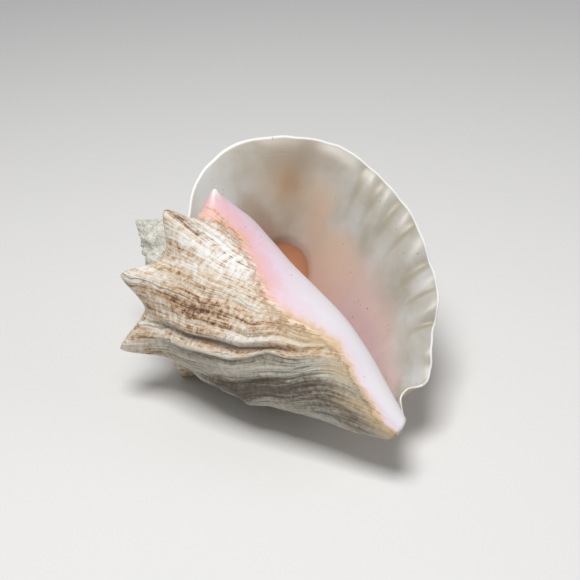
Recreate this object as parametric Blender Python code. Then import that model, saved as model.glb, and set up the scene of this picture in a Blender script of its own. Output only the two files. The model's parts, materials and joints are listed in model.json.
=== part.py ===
"""A conch shell with a flared lip, lying on its back with the aperture up.

The shell is modelled standing on its axis, in millimetres, then laid down and scaled to metres.
In the standing frame the apex points to +Z, the flared lip to +X and the aperture faces -Y.
A growth angle, in degrees, runs along the coil and comes near 0 at the lip. A place on the profile
runs from the suture (0) over the shoulder to the tip of the siphonal canal (1).
"""

import math

import bmesh
import bpy
import numpy as np
from mathutils import Matrix

MILLIMETRE = 0.001
TURN = 360.0

# The coil: every whorl is the next one shrunk towards the apex
SHELL_LENGTH = 228.0
WHORL_RATIO = 1.55
SHOULDER_RADIUS = 51.6
SHOULDER_DROP = 87.5
SHOULDER_PLACE = 0.28
SUTURE_PLACE = 0.34

# The profile of a whorl above its shoulder: place, radius and drop below the apex at growth angle 0
RAMP = (
    (0.0, 33.0, 60.0), (0.1, 38.0, 70.5), (0.2, 45.0, 79.5),
    (SHOULDER_PLACE, SHOULDER_RADIUS, SHOULDER_DROP),
)
# Below its shoulder: place, share of the way down to the canal tip, share of the shoulder's radius,
# and how much fuller the back of the last whorl is
FLANK = (
    (0.33, 0.07, 1.02, 0.03), (0.41, 0.18, 0.99, 0.12), (0.51, 0.32, 0.91, 0.17), (0.61, 0.46, 0.82, 0.10),
    (0.71, 0.60, 0.71, 0.04), (0.82, 0.75, 0.55, 0.01), (0.91, 0.88, 0.36, 0.05), (1.0, 1.0, 0.19, 0.01),
)
BACK_START = -250.0
BACK_FULL = -150.0

# The spire is slimmer than the coil would have it
SLIM_SHARE = 0.86
SLIM_START = -330.0
SLIM_FULL = -690.0

# The canal tip is cut askew, lowest at one growth angle, and leans towards another
CANAL_TIP_HEIGHT = 8.0
CANAL_TIP_SLANT = 5.0
CANAL_TIP_GROWTH = -240.0
CANAL_BEND = 4.0
CANAL_BEND_GROWTH = -125.0
CANAL_BEND_TOP = 45.0

# Where the pieces of the coil start and end, in growth angles, and how finely they are divided
FIRST_GROWTH = -1950.0
CORE_END = -330.0
SHEET_START = -342.0
LIP_START = -78.0
CORE_STEP = 9.0
CORE_RAMP_ROWS = 6
CORE_FLANK_ROWS = 12
SHEET_STEP = 6.0
LIP_COLUMNS = 11
RAMP_ROWS = 8
FLANK_ROWS = 19

# Shell wall: thinner at the lip's edge, at the suture and along the canal
WALL = 3.2
LIP_EDGE_WALL = 2.0
SUTURE_WALL_SHARE = 0.3
SUTURE_WALL_REACH = 0.08
CANAL_WALL_SHARE = 0.4
CANAL_PLACE = 0.8
# How deep the walls are set in each other where they meet
SINK = 0.5

# Shoulder spines of the last whorl: growth angle, height, tilt towards the apex, half width
SPINES = (
    (-78.0, 17.0, 0.0, 12.0), (-120.0, 21.0, -8.0, 16.0), (-162.0, 26.0, 22.0, 13.5),
    (-204.0, 22.5, 50.0, 13.5), (-252.0, 20.0, 36.0, 12.0), (-294.0, 16.0, 36.0, 15.0),
)
SPIRE_KNOB_SPACING = 42.0
SPIRE_KNOB_SHARE = 0.20
SPIRE_KNOB_TILT = 30.0
SPIRE_KNOB_HALF_WIDTH = 10.0
SPINE_HALF_HEIGHT = 13.0
SPINE_DOWNWARD_STRETCH = 0.75
SPINE_REACH = 72.0
# How fast a spine or knob falls away, and how blunt its tip is
BUMP_FALL = 1.2
BUMP_POWER = 1.5

# Low knobs of the second row: growth angle and height
KNOBS = ((-228.0, 4.5), (-192.0, 2.5), (-150.0, 4.0), (-86.0, 8.0))
KNOB_PLACE = 0.62
KNOB_HALF_WIDTH = 9.0

# Growth lines lag behind the shoulder on the way down: share of the way, degrees
LAG = ((0.0, 0.0), (0.2, 9.0), (0.42, 24.0), (0.62, 54.0), (0.74, 86.0), (0.88, 106.0), (1.0, 118.0))
LAG_FULL = -150.0

# An old lip edge left as a ledge along a growth line, with a valley before it: heights and distances
LEDGE_GROWTH = -175.0
LEDGE_HEIGHT = 2.2
LEDGE_WIDTH = 4.0
LEDGE_FADE = 25.0
LEDGE_VALLEY = 2.0
VALLEY_HALF_WIDTH = 5.0
# It starts just below the shoulder and dies out above the canal: shares of the way down
LEDGE_TOP = 0.05
LEDGE_DYING = 0.6
LEDGE_END = 0.8

# The callus thickens the wall beside the aperture: place and thickness
CALLUS = (
    (0.16, 0.0), (0.30, 5.0), (0.40, 4.0), (0.50, 3.0), (0.61, 3.4),
    (0.72, 3.6), (0.82, 2.0), (0.92, 0.5), (1.0, 0.0),
)
CALLUS_GROWTH = -328.0
CALLUS_HALF_WIDTH = 34.0

# The flared lip: place on the profile, its margin as right, ventral and height, the way it flares there,
# and how far the wall runs straight on from its root and straight out to its margin
LIP = (
    (0.00, (5, 27, 181), (-0.98, 0.20, 0.20), 30, 24),
    (0.03, (10, 29, 187), (-0.80, 0.40, 0.50), 31, 24),
    (0.07, (26, 37, 198), (-0.10, 0.60, 0.80), 36, 26),
    (0.12, (45, 42, 201), (0.25, 0.55, 0.80), 40, 30),
    (0.18, (67, 46, 195), (0.45, 0.50, 0.74), 42, 30),
    (0.25, (88, 46, 179), (0.65, 0.45, 0.60), 44, 30),
    (0.33, (104, 43, 158), (0.80, 0.40, 0.40), 45, 28),
    (0.41, (110, 36, 132), (0.90, 0.35, 0.20), 45, 26),
    (0.49, (108, 29, 105), (0.93, 0.30, 0.05), 45, 25),
    (0.59, (94, 20, 73), (0.92, 0.25, -0.15), 40, 24),
    (0.69, (75, 12, 47), (0.88, 0.20, -0.35), 34, 20),
    (0.78, (53, 5, 32), (0.80, 0.15, -0.50), 28, 16),
    (0.85, (40, 0, 21), (0.75, 0.15, -0.60), 20, 12),
    (0.90, (30, -2, 17), (0.80, 0.20, -0.40), 14, 8),
    (0.94, (20, 0, 20), (0.80, 0.40, -0.20), 10, 5),
    (0.97, (12, 0, 18), (0.80, 0.45, -0.20), 6, 3),
    (1.00, (9, -7, 13), (0.90, 0.35, -0.10), 5, 3),
)
# Its upper edge climbs the spire: where it ends, and how deep it is set in the wall
CLIMB_END = 82.0
CLIMB_PLACE = 0.06
CLIMB_DEPTH = 2.0
CLIMB_SINKING = 0.1
CLIMB_REACH = 0.16
# Folds at its margin: place, depth and half width
FOLDS = (
    (0.43, 1.2, 0.020), (0.485, 2.2, 0.022), (0.54, 1.6, 0.018), (0.61, 3.0, 0.024),
    (0.69, 1.4, 0.018), (0.735, 2.4, 0.020), (0.81, -2.5, 0.030),
)
# The inside is rounder than the outside down to the canal: passes of smoothing, places where it ends
INSIDE_SMOOTHING = 8
ROUND_PLACE = 0.6
PLAIN_PLACE = 0.85

# How the shell lies: on its back, on two spines and a knob
RESTING_PITCH = 10.7
RESTING_ROLL = 7.6

# Polished shell, cream outside and in
SHELL_COLOUR = (0.72, 0.62, 0.54, 1.0)
SHELL_ROUGHNESS = 0.35
SHARP_EDGE = 50.0


def smooth_curve(knots, values, at):
    """A cubic curve through the values at the knots, read at each place in `at`."""
    knots, values, at = np.array(knots), np.array(values, float), np.asarray(at, float)
    slopes = np.gradient(values, knots)
    index = np.clip(np.searchsorted(knots, at, side="right") - 1, 0, len(knots) - 2)
    span = knots[index + 1] - knots[index]
    share = (at - knots[index]) / span
    return (
        (2 * share**3 - 3 * share**2 + 1) * values[index]
        + (share**3 - 2 * share**2 + share) * slopes[index] * span
        + (3 * share**2 - 2 * share**3) * values[index + 1]
        + (share**3 - share**2) * slopes[index + 1] * span
    )


def ease(share):
    share = np.clip(share, 0, 1)
    return share * share * (3 - 2 * share)


def growth_size(growth):
    return WHORL_RATIO ** (growth / TURN)


def shoulder_height(growth):
    return SHELL_LENGTH - SHOULDER_DROP * growth_size(growth)


def slim(growth):
    return 1 - (1 - SLIM_SHARE) * ease((SLIM_START - growth) / (SLIM_START - SLIM_FULL))


def profile(growth, place):
    """Radius and height of the whorl without its spines."""
    knots = [row[0] for row in RAMP + FLANK]
    radii = [row[1] for row in RAMP] + [row[2] * SHOULDER_RADIUS for row in FLANK]
    fuller = [0.0] * len(RAMP) + [row[3] * SHOULDER_RADIUS for row in FLANK]
    drops = [row[2] for row in RAMP] + [(1 - row[1]) * SHOULDER_DROP for row in FLANK]
    downs = [0.0] * len(RAMP) + [row[1] for row in FLANK]
    size = growth_size(growth)
    back = ease((growth - BACK_START) / (BACK_FULL - BACK_START))
    radius = size * (smooth_curve(knots, radii, place) + back * smooth_curve(knots, fuller, place))
    inner = np.clip(1 - place / SHOULDER_PLACE, 0, 1)
    radius = radius * (inner * slim(growth - TURN) + (1 - inner) * slim(growth))
    down = smooth_curve(knots, downs, place)
    tip = CANAL_TIP_HEIGHT - CANAL_TIP_SLANT * np.cos(np.radians(growth - CANAL_TIP_GROWTH))
    return radius, SHELL_LENGTH * (1 - down) - size * smooth_curve(knots, drops, place) + tip * down


def outward(growth):
    """The way out from the axis: the coil is right-handed."""
    angle = np.radians(growth)
    return np.stack([np.cos(angle), -np.sin(angle), 0 * angle], axis=-1)


def turned(growth, radius, height):
    """Points around the axis, which bends near the canal tip."""
    bend = CANAL_BEND * np.clip(1 - height / CANAL_BEND_TOP, 0, 1) ** 2
    axis = outward(CANAL_BEND_GROWTH) * bend[..., None] + np.array([0.0, 0.0, 1.0]) * height[..., None]
    return outward(growth) * radius[..., None] + axis


def all_spines():
    """Shoulder spines from the lip back to the apex."""
    found = list(SPINES)
    growth = SPINES[-1][0] - SPIRE_KNOB_SPACING
    while growth > FIRST_GROWTH:
        height = SPIRE_KNOB_SHARE * SHOULDER_RADIUS * growth_size(growth)
        found.append((growth, height, SPIRE_KNOB_TILT, SPIRE_KNOB_HALF_WIDTH))
        growth -= SPIRE_KNOB_SPACING
    return found


def bump(across, along):
    """A blunt cone with hollow flanks, 1 high."""
    return np.exp(-BUMP_FALL * np.hypot(across, along) ** BUMP_POWER)[..., None]


def callus(growth, place):
    """How much the callus thickens the wall."""
    knots, thickness = zip(*CALLUS)
    share = np.exp(-(((growth - CALLUS_GROWTH) / CALLUS_HALF_WIDTH) ** 2))
    return share * np.clip(smooth_curve(knots, thickness, np.clip(place, knots[0], knots[-1])), 0, None)


def whorl(growth, place):
    """Points of the outer surface, with its spines, knobs, ledge and callus."""
    growth, place = np.broadcast_arrays(np.asarray(growth, float), np.asarray(place, float))
    radius, height = profile(growth, place)
    points = turned(growth, radius, height)
    for angle, tall, tilt, wide in all_spines():
        near = np.abs(growth - angle) < SPINE_REACH
        if not near.any():
            continue
        size = growth_size(angle)
        middle_radius, middle_height = profile(angle, SHOULDER_PLACE)
        across = np.radians(growth - angle) * middle_radius / (wide * size)
        along = np.hypot(radius - middle_radius, height - middle_height) / (SPINE_HALF_HEIGHT * size)
        along = np.where(height < middle_height, along * SPINE_DOWNWARD_STRETCH, along)
        lift = math.radians(tilt)
        way = math.cos(lift) * outward(growth) + math.sin(lift) * np.array([0.0, 0.0, 1.0])
        points = points + near[..., None] * bump(across, along) * tall * way
    for angle, tall in KNOBS:
        middle_radius, middle_height = profile(angle, KNOB_PLACE)
        across = np.radians(growth - angle) * middle_radius / KNOB_HALF_WIDTH
        along = np.hypot(radius - middle_radius, height - middle_height) / KNOB_HALF_WIDTH
        points = points + bump(across, along) * tall * outward(growth)
    stands_out = ledge(growth, radius, height) + callus(growth, place)
    return points + stands_out[..., None] * outward(growth)


def lag(growth, height):
    """How far the growth line through a point lags behind the shoulder."""
    down = (shoulder_height(growth) - height) / (shoulder_height(growth) - CANAL_TIP_HEIGHT)
    return np.interp(down, [row[0] for row in LAG], [row[1] for row in LAG])


def ledge(growth, radius, height):
    """How far the old lip edge stands out."""
    past = np.radians(growth - LEDGE_GROWTH + lag(growth, height)) * radius
    down = (shoulder_height(growth) - height) / shoulder_height(growth)
    present = np.clip(down / LEDGE_TOP, 0, 1) * np.clip((LEDGE_END - down) / (LEDGE_END - LEDGE_DYING), 0, 1)
    step = ease(past / LEDGE_WIDTH + 0.5) * np.exp(-np.clip(past, 0, None) / LEDGE_FADE)
    valley = np.exp(-(((past + VALLEY_HALF_WIDTH) / VALLEY_HALF_WIDTH) ** 2))
    return (LEDGE_HEIGHT * step - LEDGE_VALLEY * valley) * present


def lip_surface(ways, places):
    """The flared lip, without and with its folds, from its root on the whorl (0) to its margin (1)."""
    knots = [row[0] for row in LIP]
    margin = np.stack([smooth_curve(knots, [row[1][axis] for row in LIP], places) for axis in range(3)], -1)
    flare = np.stack([smooth_curve(knots, [row[2][axis] for row in LIP], places) for axis in range(3)], -1)
    # The ventral side is towards -Y
    margin *= (1, -1, 1)
    flare *= (1, -1, 1)
    flare /= np.linalg.norm(flare, axis=-1, keepdims=True)
    leave = smooth_curve(knots, [row[3] for row in LIP], places)[:, None]
    arrive = smooth_curve(knots, [row[4] for row in LIP], places)[:, None]
    root = whorl(LIP_START, places)
    heading = turned(LIP_START + 1 + 0 * places, *profile(LIP_START + 1, places))
    heading -= turned(LIP_START - 1 + 0 * places, *profile(LIP_START - 1, places))
    heading /= np.linalg.norm(heading, axis=-1, keepdims=True)
    way = ways[:, None, None]
    surface = (1 - way) ** 3 * root + 3 * (1 - way) ** 2 * way * (root + leave * heading)
    surface = surface + 3 * (1 - way) * way**2 * (margin - arrive * flare) + way**3 * margin
    near = np.clip(1 - places / CLIMB_REACH, 0, 1)[:, None] ** 2
    surface = surface + near * (spire_climb(ways)[:, None] - surface[:, :1])
    depth = sum(deep * np.exp(-(((places - place) / half) ** 2)) for place, deep, half in FOLDS)
    side = np.cross(flare, np.gradient(margin, axis=0))
    side /= np.linalg.norm(side, axis=-1, keepdims=True)
    return surface, depth[:, None] * side * way**2


def spire_climb(ways):
    """Where the lip's upper edge is attached, a little inside the surface of the spire."""
    growth = LIP_START - TURN + ways * (CLIMB_END - LIP_START)
    place = SUTURE_PLACE + (CLIMB_PLACE - SUTURE_PLACE) * ease(ways)
    depth = CLIMB_DEPTH * ease(ways / CLIMB_SINKING)
    return turned(growth, *profile(growth, place)) - depth[:, None] * outward(growth)


def offset(points, wall):
    """The points of a grid moved inwards by the wall."""
    normal = np.cross(np.gradient(points, axis=0), np.gradient(points, axis=1))
    normal /= np.linalg.norm(normal, axis=-1, keepdims=True)
    return points - wall[..., None] * normal


def add_grid(mesh, points):
    """A sheet of faces with its corners at the points."""
    rows, columns = points.shape[:2]
    made = bmesh.ops.create_grid(mesh, x_segments=columns - 1, y_segments=rows - 1, size=1)["verts"]
    for vertex, point in zip(made, points.reshape(-1, 3)):
        vertex.co = point


def closed_object(mesh, name):
    bmesh.ops.remove_doubles(mesh, verts=mesh.verts, dist=0.001)
    bmesh.ops.holes_fill(mesh, edges=[edge for edge in mesh.edges if edge.is_boundary])
    bmesh.ops.recalc_face_normals(mesh, faces=mesh.faces)
    data = bpy.data.meshes.new(name)
    mesh.to_mesh(data)
    mesh.free()
    data.shade_smooth()
    data.set_sharp_from_angle(angle=math.radians(SHARP_EDGE))
    data.materials.append(bpy.data.materials["shell"])
    thing = bpy.data.objects.new(name, data)
    bpy.context.scene.collection.objects.link(thing)
    return thing


def make_core():
    """The spire and the columella as a filled solid."""
    growth = np.arange(FIRST_GROWTH, CORE_END + 1, CORE_STEP)[:, None]
    strip = whorl(growth, np.linspace(0, SUTURE_PLACE, CORE_RAMP_ROWS + 1))
    strip[:, -1] = whorl(growth[:, 0] + TURN, 0.0)
    mesh = bmesh.new()
    add_grid(mesh, strip)
    last_turn = slice(-int(TURN / CORE_STEP) - 1, None)
    flank = whorl(growth[last_turn], np.linspace(SUTURE_PLACE, 1, CORE_FLANK_ROWS + 1))
    flank[:, 0] = strip[last_turn, -1]
    add_grid(mesh, flank)
    section = np.concatenate([strip[-1], flank[-1, 1:], flank[0, :0:-1]])
    mesh.faces.new([mesh.verts.new(point) for point in section])
    return closed_object(mesh, "core")


def make_walls():
    """The last whorl and its flared lip as two walls that meet face to face."""
    places = np.append(
        np.linspace(0, SHOULDER_PLACE, RAMP_ROWS)[:-1], np.linspace(SHOULDER_PLACE, 1, FLANK_ROWS + 1)
    )
    line = np.append(np.arange(SHEET_START, LIP_START, SHEET_STEP), LIP_START)[:, None]
    lean = ease((LIP_START - line) / (LIP_START - LAG_FULL))
    growth = line - lean * lag(line, profile(line, places)[1])
    ways = np.linspace(0, 1, LIP_COLUMNS + 1)[1:]
    lip, folds = lip_surface(ways, places)

    # The wall, then the inside as a rounder copy of the outside without its spines
    thinner = SUTURE_WALL_SHARE + (1 - SUTURE_WALL_SHARE) * ease(places / SUTURE_WALL_REACH)
    thinner *= 1 - (1 - CANAL_WALL_SHARE) * ease((places - CANAL_PLACE) / (1 - CANAL_PLACE))
    wall = np.append(np.full(len(line), WALL), np.linspace(WALL, LIP_EDGE_WALL, LIP_COLUMNS))
    wall = wall[:, None] * thinner
    plain = np.concatenate([turned(growth, *profile(growth, places)), lip])
    rounder = plain.copy()
    for _ in range(INSIDE_SMOOTHING):
        rounder[:, 1:-1] = (rounder[:, :-2] + 2 * rounder[:, 1:-1] + rounder[:, 2:]) / 4
    share = 1 - np.append(np.zeros(len(line)), ways)[:, None] ** 2
    share = share * (1 - ease((places - ROUND_PLACE) / (PLAIN_PLACE - ROUND_PLACE)))
    inner = offset(plain + share[..., None] * (rounder - plain), wall)
    inner[len(line):] += folds

    # The outside, a little sunk into the spire where it starts, along its suture and at the canal tip
    outer = np.concatenate([whorl(growth, places), lip + folds])
    sunk = np.clip((CORE_END + SHEET_STEP - growth) / SHEET_STEP, 0, 1) * SINK
    outer[:len(line)] -= sunk[..., None] * outward(growth)
    outer[:len(line), 0] -= SINK * outward(growth[:, 0])
    outer[:, -1, 2] -= SINK
    inner[:, -1, 2] -= SINK
    root = len(line)
    last_whorl = closed_wall(outer[:root], inner[:root], "last_whorl")
    return last_whorl, closed_wall(outer[root - 1:], inner[root - 1:], "lip")


def closed_wall(outer, inner, name):
    """A solid between two sheets, closed along their four edges."""
    mesh = bmesh.new()
    for sheet in (outer, inner):
        add_grid(mesh, sheet)
    for near, far in ((outer[0], inner[0]), (outer[-1], inner[-1]),
                      (outer[:, 0], inner[:, 0]), (outer[:, -1], inner[:, -1])):
        add_grid(mesh, np.stack([near, far]))
    return closed_object(mesh, name)


def lay_down(shell, walls):
    """Turns the parts on their back and stands them on the ground, in metres, centred on the origin."""
    roll = Matrix.Rotation(math.radians(RESTING_ROLL), 4, "X")
    pitch = Matrix.Rotation(math.radians(RESTING_PITCH), 4, "Y")
    on_back = Matrix.Rotation(math.radians(90), 4, "Z") @ Matrix.Rotation(math.radians(-90), 4, "X")
    for thing in [shell, *walls]:
        thing.data.transform(Matrix.Scale(MILLIMETRE, 4) @ roll @ pitch @ on_back)
    depsgraph = bpy.context.evaluated_depsgraph_get()
    corners = np.array([vertex.co for vertex in shell.evaluated_get(depsgraph).data.vertices])
    low, high = corners.min(axis=0), corners.max(axis=0)
    for thing in [shell, *walls]:
        thing.data.transform(Matrix.Translation((-(low[0] + high[0]) / 2, -(low[1] + high[1]) / 2, -low[2])))


def make_material():
    material = bpy.data.materials.new("shell")
    material.use_nodes = True
    material.diffuse_color = SHELL_COLOUR
    shader = material.node_tree.nodes["Principled BSDF"]
    shader.inputs["Base Color"].default_value = SHELL_COLOUR
    shader.inputs["Roughness"].default_value = SHELL_ROUGHNESS
    shader.inputs["Metallic"].default_value = 0.0


def main():
    for thing in list(bpy.data.objects):
        bpy.data.objects.remove(thing)
    make_material()
    shell = make_core()
    shell.name = "conch_shell"
    hidden = bpy.data.collections.new("walls")
    bpy.context.scene.collection.children.link(hidden)
    walls = make_walls()
    for wall in walls:
        bpy.context.scene.collection.objects.unlink(wall)
        hidden.objects.link(wall)
        wall.hide_render = True
        wall.display_type = "WIRE"
    join = shell.modifiers.new("join", "BOOLEAN")
    join.operation = "UNION"
    join.solver = "EXACT"
    join.operand_type = "COLLECTION"
    join.collection = hidden
    lay_down(shell, walls)


main()
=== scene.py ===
import json
import math

import bmesh
import bpy
import numpy as np
from mathutils import Matrix, Vector, noise

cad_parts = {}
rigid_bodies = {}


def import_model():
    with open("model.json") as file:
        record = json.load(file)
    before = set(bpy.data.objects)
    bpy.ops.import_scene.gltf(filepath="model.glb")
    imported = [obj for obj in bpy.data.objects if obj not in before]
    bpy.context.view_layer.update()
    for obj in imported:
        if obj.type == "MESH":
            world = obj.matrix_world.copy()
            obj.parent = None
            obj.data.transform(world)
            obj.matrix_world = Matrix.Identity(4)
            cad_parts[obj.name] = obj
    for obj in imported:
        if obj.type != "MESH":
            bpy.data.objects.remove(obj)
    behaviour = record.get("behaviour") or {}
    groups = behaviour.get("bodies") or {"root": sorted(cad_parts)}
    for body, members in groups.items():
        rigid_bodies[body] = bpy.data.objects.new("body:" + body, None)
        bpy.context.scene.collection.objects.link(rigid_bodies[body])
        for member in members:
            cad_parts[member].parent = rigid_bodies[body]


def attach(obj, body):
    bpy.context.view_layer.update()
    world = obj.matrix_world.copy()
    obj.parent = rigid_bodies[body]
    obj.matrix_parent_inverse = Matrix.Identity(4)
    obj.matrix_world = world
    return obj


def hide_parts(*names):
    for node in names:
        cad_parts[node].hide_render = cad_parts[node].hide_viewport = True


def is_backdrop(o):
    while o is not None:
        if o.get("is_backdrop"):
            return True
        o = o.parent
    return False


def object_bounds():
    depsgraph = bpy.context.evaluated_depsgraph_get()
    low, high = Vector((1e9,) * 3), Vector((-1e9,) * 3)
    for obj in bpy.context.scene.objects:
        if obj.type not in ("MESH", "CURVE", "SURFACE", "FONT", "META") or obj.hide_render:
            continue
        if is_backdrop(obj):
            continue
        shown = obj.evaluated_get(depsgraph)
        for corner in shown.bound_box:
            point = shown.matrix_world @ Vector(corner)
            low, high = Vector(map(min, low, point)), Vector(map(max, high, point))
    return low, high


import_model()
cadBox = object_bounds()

print("frame loaded, millimetres", [round(1000 * (cadBox[1][axis] - cadBox[0][axis])) for axis in range(3)])

# The coil, standing on its axis in millimetres: apex up, lip to +X, aperture towards -Y
coil = {
    "length": 228.0,
    "whorlRatio": 1.55,
    "shoulderRadius": 51.6,
    "shoulderDrop": 87.5,
    "shoulderPlace": 0.28,
    "suturePlace": 0.34,
    # place on the profile, radius, drop below the apex
    "ramp": ((0.0, 33.0, 60.0), (0.1, 38.0, 70.5), (0.2, 45.0, 79.5), (0.28, 51.6, 87.5)),
    # place, share of the way down, share of the shoulder's radius, how much fuller the back is
    "flank": (
        (0.33, 0.07, 1.02, 0.03), (0.41, 0.18, 0.99, 0.12), (0.51, 0.32, 0.91, 0.17),
        (0.61, 0.46, 0.82, 0.10), (0.71, 0.60, 0.71, 0.04), (0.82, 0.75, 0.55, 0.01),
        (0.91, 0.88, 0.36, 0.05), (1.0, 1.0, 0.19, 0.01),
    ),
    "backStart": -250.0,    # the back grows fuller from here to there
    "backFull": -150.0,
    "slimShare": 0.86,    # the spire is slimmer than the coil would have it
    "slimStart": -330.0,
    "slimFull": -690.0,
    "canalTipHeight": 8.0,
    "canalTipSlant": 5.0,
    "canalTipGrowth": -240.0,
    "canalBend": 4.0,    # the axis bends aside near the canal tip
    "canalBendGrowth": -125.0,
    "canalBendTop": 45.0,
    "firstGrowth": -2840.0,
    "coreEnd": -330.0,    # the filled columella ends here, and the last whorl's wall goes on
    "sheetStart": -342.0,
    "lipStart": -78.0,
    "sutureFade": 30.0,
    "pitch": 10.7,    # how it lies on its back
    "roll": 7.6,
    "settle": (0.11029, -0.01897, 0.0326),    # metres, centres it over the floor
}

# How finely the surface is divided
fineness = {
    "coreStep": 4.0,
    "coreRampRows": 22,
    "coreFlankRows": 70,
    "sheetStep": 1.5,
    "rampRows": 44,
    "flankRows": 106,
    "lipColumns": 54,
    "rimColumns": 5,
    "sliver": 0.002,
}


def smoothCurve(knots, values, at):
    knots, values, at = np.array(knots), np.array(values, float), np.asarray(at, float)
    slopes = np.gradient(values, knots)
    index = np.clip(np.searchsorted(knots, at, side="right") - 1, 0, len(knots) - 2)
    span = knots[index + 1] - knots[index]
    share = (at - knots[index]) / span
    return (
        (2 * share**3 - 3 * share**2 + 1) * values[index]
        + (share**3 - 2 * share**2 + share) * slopes[index] * span
        + (3 * share**2 - 2 * share**3) * values[index + 1]
        + (share**3 - share**2) * slopes[index + 1] * span
    )


def ease(share):
    share = np.clip(share, 0, 1)
    return share * share * (3 - 2 * share)


def growthSize(growth):
    return coil["whorlRatio"] ** (growth / 360)


def shoulderHeight(growth):
    return coil["length"] - coil["shoulderDrop"] * growthSize(growth)


def slim(growth):
    share = ease((coil["slimStart"] - growth) / (coil["slimStart"] - coil["slimFull"]))
    return 1 - (1 - coil["slimShare"]) * share


def profile(growth, place):    # radius and height of the whorl without its spines
    ramp, flank = coil["ramp"], coil["flank"]
    knots = [row[0] for row in ramp + flank]
    radii = [row[1] for row in ramp] + [row[2] * coil["shoulderRadius"] for row in flank]
    fuller = [0.0] * len(ramp) + [row[3] * coil["shoulderRadius"] for row in flank]
    drops = [row[2] for row in ramp] + [(1 - row[1]) * coil["shoulderDrop"] for row in flank]
    downs = [0.0] * len(ramp) + [row[1] for row in flank]
    size = growthSize(growth)
    back = ease((growth - coil["backStart"]) / (coil["backFull"] - coil["backStart"]))
    radius = size * (smoothCurve(knots, radii, place) + back * smoothCurve(knots, fuller, place))
    inner = np.clip(1 - place / coil["shoulderPlace"], 0, 1)
    radius = radius * (inner * slim(growth - 360) + (1 - inner) * slim(growth))
    down = smoothCurve(knots, downs, place)
    slant = np.cos(np.radians(growth - coil["canalTipGrowth"]))
    tip = coil["canalTipHeight"] - coil["canalTipSlant"] * slant
    return radius, coil["length"] * (1 - down) - size * smoothCurve(knots, drops, place) + tip * down


def outward(growth):    # the way out from the axis, for a right-handed coil
    angle = np.radians(growth)
    return np.stack([np.cos(angle), -np.sin(angle), 0 * angle], axis=-1)


def turned(growth, radius, height):    # points around the axis, which bends near the canal tip
    bend = coil["canalBend"] * np.clip(1 - height / coil["canalBendTop"], 0, 1) ** 2
    axis = outward(coil["canalBendGrowth"]) * bend[..., None]
    axis = axis + np.array([0.0, 0.0, 1.0]) * height[..., None]
    return outward(growth) * radius[..., None] + axis


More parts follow.
